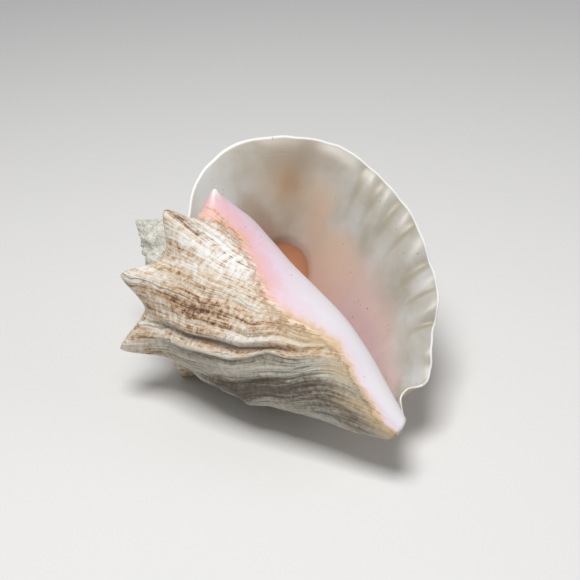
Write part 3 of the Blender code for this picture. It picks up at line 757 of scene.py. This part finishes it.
# The finish, laid out over growth line (degrees) and place on the profile (0 suture, 1 canal tip)
finish = {
    # bare shell, from the darkest streaks to the whitest
    "bare": (
        (0.00, colour(92, 68, 54)), (0.18, colour(144, 108, 82)), (0.34, colour(192, 158, 124)),
        (0.50, colour(212, 191, 164)), (0.66, colour(221, 209, 192)), (0.88, colour(236, 232, 226)),
    ),
    # the newer shell below the old lip edge: greyer, and its ramp darkened as painted shade of the lower
    # body
    "newer": (
        (0.00, colour(58, 54, 48)), (0.25, colour(116, 110, 98)), (0.48, colour(160, 156, 143)),
        (0.70, colour(182, 178, 166)), (0.95, colour(210, 206, 194)),
    ),
    # the spire, bleached and chalky
    "spire": (
        (0.05, colour(130, 128, 112)), (0.35, colour(186, 184, 170)), (0.60, colour(214, 212, 202)),
        (0.85, colour(230, 230, 222)),
    ),
    # across the edge of the callus, degrees: beside the spines, and near the canal
    "pinkEdge": (
        (-14, colour(220, 180, 142)), (-7, colour(224, 174, 138)), (-1, colour(230, 178, 158)),
        (5, colour(232, 184, 182)), (13, colour(230, 194, 204)), (26, colour(230, 210, 222)),
        (55, colour(234, 224, 230)),
    ),
    "tanEdge": (
        (-14, colour(216, 194, 156)), (-6, colour(216, 184, 140)), (1, colour(224, 192, 160)),
        (6, colour(230, 208, 202)), (13, colour(232, 218, 224)), (28, colour(232, 226, 232)),
        (55, colour(234, 228, 231)),
    ),
    "lip": (
        (0.30, colour(164, 156, 141)), (0.50, colour(184, 179, 168)), (0.70, colour(198, 197, 192)),
    ),
    # shifts of the bare shell towards brown (below zero) or white:
    # growth line, place, half sizes, shift
    "zones": (
        (-203.0, 0.41, 15.0, 0.14, -0.40), (-217.0, 0.335, 8.0, 0.06, -0.20),
        (-248.0, 0.43, 26.0, 0.17, 0.16), (-236.0, 0.27, 12.0, 0.08, 0.06),
        (-200.0, 0.62, 8.0, 0.08, -0.16), (-254.0, 0.305, 7.0, 0.05, -0.12),
        (-216.0, 0.24, 9.0, 0.06, 0.20), (-190.0, 0.62, 5.0, 0.2, 0.10), (-130.0, 0.20, 50.0, 0.14, 0.10),
        (-60.0, 0.45, 60.0, 0.25, -0.08), (-222.0, 0.52, 14.0, 0.12, 0.10),
    ),
    # growth line, place, half sizes, shift; the dark zones at -138 and -124 are painted shade of the lower
    # body, and the thin dark line at -167.5 is a painted shadow below the crest
    "newerZones": (
        (-138.0, 0.64, 17.0, 0.28, -0.62), (-124.0, 0.86, 18.0, 0.18, -0.40),
        (-158.0, 0.64, 10.0, 0.20, 0.34), (-167.5, 0.55, 3.0, 0.24, -0.30),
        (-120.0, 0.34, 22.0, 0.10, -0.20),
    ),
    # the furrow above the old lip edge, darkened as painted shade, and its crest, lightened as a painted
    # highlight
    "valley": (-177.3, 0.53, 4.4, 0.26, colour(98, 78, 64)),
    "crest": (-171.2, 0.56, 1.7, 0.25, colour(226, 218, 200)),
    # patches inside: growth line, place, half sizes, colour, strength
    "patches": (
        (-46.0, 0.46, 44.0, 0.60, colour(206, 158, 136), 0.90),
        (-24.0, 0.62, 28.0, 0.34, colour(208, 182, 174), 0.85),
        (-34.0, 0.66, 17.0, 0.28, colour(196, 164, 168), 0.65),
        (-18.0, 0.42, 18.0, 0.13, colour(210, 180, 156), 0.70),
        (-4.0, 0.33, 20.0, 0.07, colour(212, 178, 150), 0.65),
        (6.0, 0.25, 32.0, 0.13, colour(190, 168, 142), 0.60),
        (7.0, 0.25, 22.0, 0.060, colour(184, 148, 114), 0.50),
        (8.0, 0.253, 12.0, 0.030, colour(172, 132, 98), 0.50),
        (-6.0, 0.145, 14.0, 0.060, colour(176, 148, 122), 0.50),
        (-15.0, 0.180, 14.0, 0.060, colour(168, 134, 108), 0.55),
        (-24.0, 0.215, 14.0, 0.060, colour(160, 122, 96), 0.55),
        (26.0, 0.27, 26.0, 0.14, colour(152, 138, 120), 0.80),
        (-18.0, 0.84, 16.0, 0.06, colour(214, 186, 182), 0.60),
        (8.0, 0.06, 40.0, 0.09, colour(222, 226, 226), 0.60),
    ),
    # painted shade, grey-brown, in the fold valleys of the margin: place, half size
    "foldShades": (
        (0.40, 0.014), (0.44, 0.015), (0.485, 0.020), (0.535, 0.014), (0.61, 0.020),
        (0.665, 0.012), (0.735, 0.017),
    ),
    "foldShadeColour": colour(150, 138, 112),
    "cavityColour": (colour(186, 128, 94), colour(214, 156, 118)),
    "tanSkin": colour(208, 182, 142),
    # the worn tip of the spine nearest the aperture
    "whiteTip": (-293.0, 0.285, 5.0, 0.022, colour(244, 240, 228)),
    # patterns over the growth map, how often they change along its two ways
    "fineStreak": (74, 8, 1),
    "streak": (22, 4.2, 1),
    "broad": (4.5, 5, 1),
    "rings": (9, 95, 1),
    "mottle": (30, 14, 1),
    "crack": (11, 1.6, 1),
    "cloud": (3, 9, 1),
    # patterns through the object itself, per metre
    "warp": 60.0,
    "warpReach": (0.09, 0.05, 0),
    "speckle": 420.0,
    "pores": 800.0,
    "fringe": 120.0,
    "dots": 330.0,
    "dotGroups": 70.0,
    "hatch": (-252.0, 0.42, 26.0, 0.17, colour(240, 240, 240)),    # growth line, place, half sizes
    "crackColour": colour(84, 66, 52),
    "dotColour": colour(120, 92, 84),
    "rimColour": colour(250, 250, 246),
    "bareRoughness": (0.52, 0.74),
    "glazeRoughness": (0.30, 0.46),
    "reliefHeight": 0.0007,
}


def plug(tree, value, socket):
    if isinstance(value, bpy.types.NodeSocket):
        tree.links.new(value, socket)
    else:
        socket.default_value = value


def calculate(tree, operation, *values):
    node = tree.nodes.new("ShaderNodeMath")
    node.operation = operation
    for value, socket in zip(values, node.inputs):
        plug(tree, value, socket)
    return node.outputs[0]


def between(tree, value, low, high, first=0.0, last=1.0):    # a soft step from low to high
    node = tree.nodes.new("ShaderNodeMapRange")
    node.interpolation_type = "SMOOTHSTEP"
    for given, socket in zip((value, low, high, first, last), node.inputs):
        plug(tree, given, socket)
    return node.outputs[0]


def stretched(tree, vector, scale, shift=(0, 0, 0)):
    node = tree.nodes.new("ShaderNodeMapping")
    tree.links.new(vector, node.inputs["Vector"])
    node.inputs["Location"].default_value = shift
    node.inputs["Scale"].default_value = scale
    return node.outputs[0]


def grain(tree, vector, scale, detail=3.0, roughness=0.55):
    node = tree.nodes.new("ShaderNodeTexNoise")
    tree.links.new(vector, node.inputs["Vector"])
    node.inputs["Scale"].default_value = scale
    node.inputs["Detail"].default_value = detail
    node.inputs["Roughness"].default_value = roughness
    return node.outputs["Fac"]


def mixture(tree, middle, *grains):    # noises around a middle value, each with its own strength
    value = middle - sum(strength for _, strength in grains) / 2
    for noiseValue, strength in grains:
        value = calculate(tree, "MULTIPLY_ADD", noiseValue, strength, value)
    return value


def shade(tree, value, stops):    # a colour ramp
    node = tree.nodes.new("ShaderNodeValToRGB")
    plug(tree, value, node.inputs[0])
    node.color_ramp.elements.remove(node.color_ramp.elements[1])
    for index, (at, paint) in enumerate(stops):
        element = node.color_ramp.elements[0] if index == 0 else node.color_ramp.elements.new(at)
        element.position = at
        element.color = paint
    return node.outputs[0]


def blend(tree, share, first, second, mode="MIX"):
    node = tree.nodes.new("ShaderNodeMix")
    node.data_type = "RGBA"
    node.blend_type = mode
    plug(tree, share, node.inputs[0])
    plug(tree, first, node.inputs[6])
    plug(tree, second, node.inputs[7])
    return node.outputs[2]


def patch(tree, vector, line, place, wide, tall, full=0.15):    # 1 in the middle of an oval, 0 outside it
    node = tree.nodes.new("ShaderNodeMapping")
    node.vector_type = "TEXTURE"
    tree.links.new(vector, node.inputs["Vector"])
    node.inputs["Location"].default_value = (line / 100, place, 0)
    node.inputs["Scale"].default_value = (wide / 100, tall, 1)
    length = tree.nodes.new("ShaderNodeVectorMath")
    length.operation = "LENGTH"
    tree.links.new(node.outputs[0], length.inputs[0])
    return between(tree, length.outputs["Value"], 1.0, full)


def makeShellFinish():
    material = bpy.data.materials.new("shellFinish")
    material.use_nodes = True
    tree = material.node_tree
    shader = tree.nodes["Principled BSDF"]

    maps = []
    for name in ("growth", "finish"):
        node = tree.nodes.new("ShaderNodeUVMap")
        node.uv_map = name
        maps.append(node.outputs[0])
    growthMap, finishMap = maps
    room = tree.nodes.new("ShaderNodeTexCoord").outputs["Object"]
    parts = tree.nodes.new("ShaderNodeSeparateXYZ")
    tree.links.new(growthMap, parts.inputs[0])
    line = calculate(tree, "MULTIPLY", parts.outputs["X"], 100.0)
    place = parts.outputs["Y"]
    split = tree.nodes.new("ShaderNodeSeparateXYZ")
    tree.links.new(finishMap, split.inputs[0])
    inside = between(tree, split.outputs["X"], 0.35, 0.65)
    onto = calculate(tree, "MULTIPLY", split.outputs["Y"], 100.0)

    # the two maps, warped a little so that nothing runs dead straight
    warp = tree.nodes.new("ShaderNodeTexNoise")
    tree.links.new(room, warp.inputs["Vector"])
    warp.inputs["Scale"].default_value = finish["warp"]
    warp.inputs["Detail"].default_value = 3.0
    shift = tree.nodes.new("ShaderNodeVectorMath")
    shift.operation = "MULTIPLY_ADD"
    tree.links.new(warp.outputs["Color"], shift.inputs[0])
    shift.inputs[1].default_value = finish["warpReach"]
    shift.inputs[2].default_value = [-reach / 2 for reach in finish["warpReach"]]
    warped = tree.nodes.new("ShaderNodeVectorMath")
    tree.links.new(growthMap, warped.inputs[0])
    tree.links.new(shift.outputs[0], warped.inputs[1])
    warped = warped.outputs[0]

    # streaks along the growth lines, and finer lines running round the whorl
    fineStreak = grain(tree, stretched(tree, growthMap, finish["fineStreak"]), 1.0, 4.0, 0.62)
    streak = grain(tree, stretched(tree, warped, finish["streak"], (3.1, 0, 0)), 1.0, 3.0)
    broad = grain(tree, stretched(tree, warped, finish["broad"], (7.7, 2, 0)), 1.0, 2.0)
    rings = grain(tree, stretched(tree, warped, finish["rings"]), 1.0, 3.0, 0.6)
    speckle = grain(tree, room, finish["speckle"], 3.0, 0.65)

    tone = mixture(tree, 0.56, (fineStreak, 1.5), (streak, 1.1), (broad, 0.9), (speckle, 1.1), (rings, 0.9))
    for at, where, wide, tall, change in finish["zones"]:
        tone = calculate(tree, "MULTIPLY_ADD", patch(tree, warped, at, where, wide, tall), change, tone)
    bare = shade(tree, tone, finish["bare"])

    # the white hatched skin where the outer layer is worn
    at, where, wide, tall, paint = finish["hatch"]
    worn = patch(tree, warped, at, where, wide, tall)
    hatch = between(tree, calculate(tree, "ADD", rings, fineStreak), 0.86, 1.12)
    bare = blend(tree, calculate(tree, "MULTIPLY", worn, hatch), bare, paint)

    # greyer and finely lined past the old lip edge, with painted shade darkening the lower body and a
    # painted shadow line below the crest
    newerTone = mixture(tree, 0.55, (fineStreak, 1.2), (streak, 0.6), (speckle, 0.9), (broad, 0.5))
    for at, where, wide, tall, change in finish["newerZones"]:
        zone = patch(tree, warped, at, where, wide, tall)
        newerTone = calculate(tree, "MULTIPLY_ADD", zone, change, newerTone)
    newer = shade(tree, newerTone, finish["newer"])
    behind = between(tree, line, -70.0, -112.0)
    past = calculate(tree, "MULTIPLY", between(tree, line, -174.0, -169.5), behind)
    past = calculate(tree, "MULTIPLY", past, between(tree, place, 0.26, 0.42))
    bare = blend(tree, calculate(tree, "MULTIPLY", past, 0.85), bare, newer)

    # painted shade in the furrow and a painted highlight on the crest of the old lip edge
    for name in ("valley", "crest"):
        at, where, wide, tall, paint = finish[name]
        share = calculate(tree, "MULTIPLY", patch(tree, growthMap, at, where, wide, tall, 0.3), 0.75)
        share = calculate(tree, "MULTIPLY", share, between(tree, fineStreak, 0.30, 0.50, 0.5))
        bare = blend(tree, share, bare, paint)

    # the spire is bleached
    pores = grain(tree, room, finish["pores"], 3.0, 0.6)
    chalk = mixture(tree, 0.62, (pores, 1.2), (speckle, 1.0), (fineStreak, 0.4))
    chalk = shade(tree, chalk, finish["spire"])
    bare = blend(tree, between(tree, line, -318.0, -352.0, 0.0, 0.85), bare, chalk)

    # thin dark fissures where growth stopped
    crack = grain(tree, stretched(tree, warped, finish["crack"], (1.3, 5, 0)), 1.0, 2.0)
    crack = calculate(tree, "ABSOLUTE", calculate(tree, "SUBTRACT", crack, 0.5))
    crack = between(tree, crack, 0.016, 0.004)
    crack = calculate(tree, "MULTIPLY", crack, between(tree, broad, 0.46, 0.60))
    bare = blend(tree, calculate(tree, "MULTIPLY", crack, 0.5), bare, finish["crackColour"], "MULTIPLY")

    # the callus, with its orange or tan fringe
    nearTip = between(tree, place, 0.84, 0.94, 1.0, 2.2)
    wobble = calculate(tree, "MULTIPLY_ADD", grain(tree, room, finish["fringe"], 6.0, 0.72), 34.0, -17.0)
    edge = calculate(tree, "MULTIPLY_ADD", onto, nearTip, wobble)
    edge = calculate(tree, "MULTIPLY_ADD", calculate(tree, "SUBTRACT", fineStreak, 0.5), 12.0, edge)
    first = finish["pinkEdge"][0][0]
    span = 60 - first
    across = calculate(tree, "MULTIPLY_ADD", edge, 1 / span, -first / span)
    pink = shade(tree, across, [((at - first) / span, paint) for at, paint in finish["pinkEdge"]])
    tan = shade(tree, across, [((at - first) / span, paint) for at, paint in finish["tanEdge"]])
    callusColour = blend(tree, between(tree, place, 0.50, 0.72), pink, tan)
    covered = between(tree, edge, -13.0, -1.0)
    skin = calculate(tree, "MULTIPLY", between(tree, edge, -42.0, -10.0), between(tree, place, 0.58, 0.70))
    skin = calculate(tree, "MULTIPLY", skin, between(tree, broad, 0.34, 0.62, 0.2, 0.85))
    bare = blend(tree, skin, bare, finish["tanSkin"])
    mottle = grain(tree, stretched(tree, warped, finish["mottle"]), 1.0, 4.0, 0.6)
    mottle = between(tree, mottle, 0.42, 0.62)
    fringe = calculate(tree, "SUBTRACT", 1.0, between(tree, edge, -2.0, 6.0))
    broken = calculate(tree, "MULTIPLY", mottle, calculate(tree, "MULTIPLY", fringe, 0.75))
    stained = calculate(tree, "MULTIPLY", covered, calculate(tree, "SUBTRACT", 1.0, broken))
    outside = blend(tree, stained, bare, callusColour)
    at, where, wide, tall, paint = finish["whiteTip"]
    share = calculate(tree, "MULTIPLY", patch(tree, growthMap, at, where, wide, tall), 0.8)
    outside = blend(tree, share, outside, paint)

    # inside: cream, with its blotches and the deep orange of the throat
    cloud = grain(tree, stretched(tree, warped, finish["cloud"]), 1.0, 3.0)
    inner = shade(tree, cloud, finish["lip"])
    for at, where, wide, tall, paint, strength in finish["patches"]:
        share = calculate(tree, "MULTIPLY", patch(tree, warped, at, where, wide, tall), strength)
        inner = blend(tree, share, inner, paint)
    # painted shade in the fold valleys of the margin
    for where, tall in finish["foldShades"]:
        share = calculate(tree, "MULTIPLY", patch(tree, growthMap, 24.0, where, 30.0, tall, 0.0), 0.75)
        inner = blend(tree, share, inner, finish["foldShadeColour"])
    at, where, wide, tall = lipForm["cavity"]
    hollow = patch(tree, growthMap, at, where, wide, tall, 0.90)
    deep = patch(tree, growthMap, at, where, wide, tall, 0.1)
    inner = blend(tree, hollow, inner, blend(tree, deep, *finish["cavityColour"]))
    atRim = between(tree, line, 30.2, 31.6)
    inner = blend(tree, calculate(tree, "MULTIPLY", atRim, 0.8), inner, finish["rimColour"])
    whole = blend(tree, inside, outside, inner)

    # a few dark specks in the glaze
    dots = tree.nodes.new("ShaderNodeTexVoronoi")
    tree.links.new(room, dots.inputs["Vector"])
    dots.inputs["Scale"].default_value = finish["dots"]
    dot = between(tree, dots.outputs["Distance"], 0.20, 0.12)
    few = between(tree, grain(tree, room, finish["dotGroups"], 2.0), 0.60, 0.66)
    dot = calculate(tree, "MULTIPLY", dot, few)
    whole = blend(tree, calculate(tree, "MULTIPLY", dot, 0.55), whole, finish["dotColour"], "MULTIPLY")
    tree.links.new(whole, shader.inputs["Base Color"])

    glazed = calculate(tree, "MAXIMUM", inside, covered)
    rough = between(tree, speckle, 0.3, 0.7, *finish["bareRoughness"])
    smooth = between(tree, cloud, 0.3, 0.7, *finish["glazeRoughness"])
    mixed = tree.nodes.new("ShaderNodeMix")
    for given, socket in ((glazed, 0), (rough, 2), (smooth, 3)):
        tree.links.new(given, mixed.inputs[socket])
    tree.links.new(mixed.outputs[0], shader.inputs["Roughness"])

    lines = calculate(tree, "MULTIPLY", streak, 0.5)
    for pattern, strength in ((fineStreak, 0.7), (rings, 0.35), (speckle, 0.35), (crack, -0.5)):
        lines = calculate(tree, "MULTIPLY_ADD", pattern, strength, lines)
    lines = calculate(tree, "MULTIPLY", lines, between(tree, glazed, 0.0, 1.0, 1.0, 0.05))
    lines = calculate(tree, "MULTIPLY_ADD", dot, -0.12, lines)
    turns = calculate(tree, "MULTIPLY_ADD", line, 1 / 360, 1.0)
    shrink = calculate(tree, "MINIMUM", calculate(tree, "POWER", coil["whorlRatio"], turns), 1.0)
    lines = calculate(tree, "MULTIPLY", lines, shrink)    # finer up the spire
    roughen = tree.nodes.new("ShaderNodeBump")
    roughen.inputs["Strength"].default_value = 1.0
    roughen.inputs["Distance"].default_value = finish["reliefHeight"]
    tree.links.new(lines, roughen.inputs["Height"])
    tree.links.new(roughen.outputs[0], shader.inputs["Normal"])
    print("finish ready", len(tree.nodes))
    return material


makeRoom()
makeCamera()
print("room and camera ready")
shell = makeShell()
shell.data.materials.clear()
shell.data.materials.append(makeShellFinish())
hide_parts("conch_shell")
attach(shell, "root")

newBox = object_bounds()
boxes = [[list(corner) for corner in box] for box in (cadBox, newBox)]
for name, box in zip(("cad", "visual"), boxes):
    print(name, "box in millimetres", [[round(1000 * value, 1) for value in corner] for corner in box])
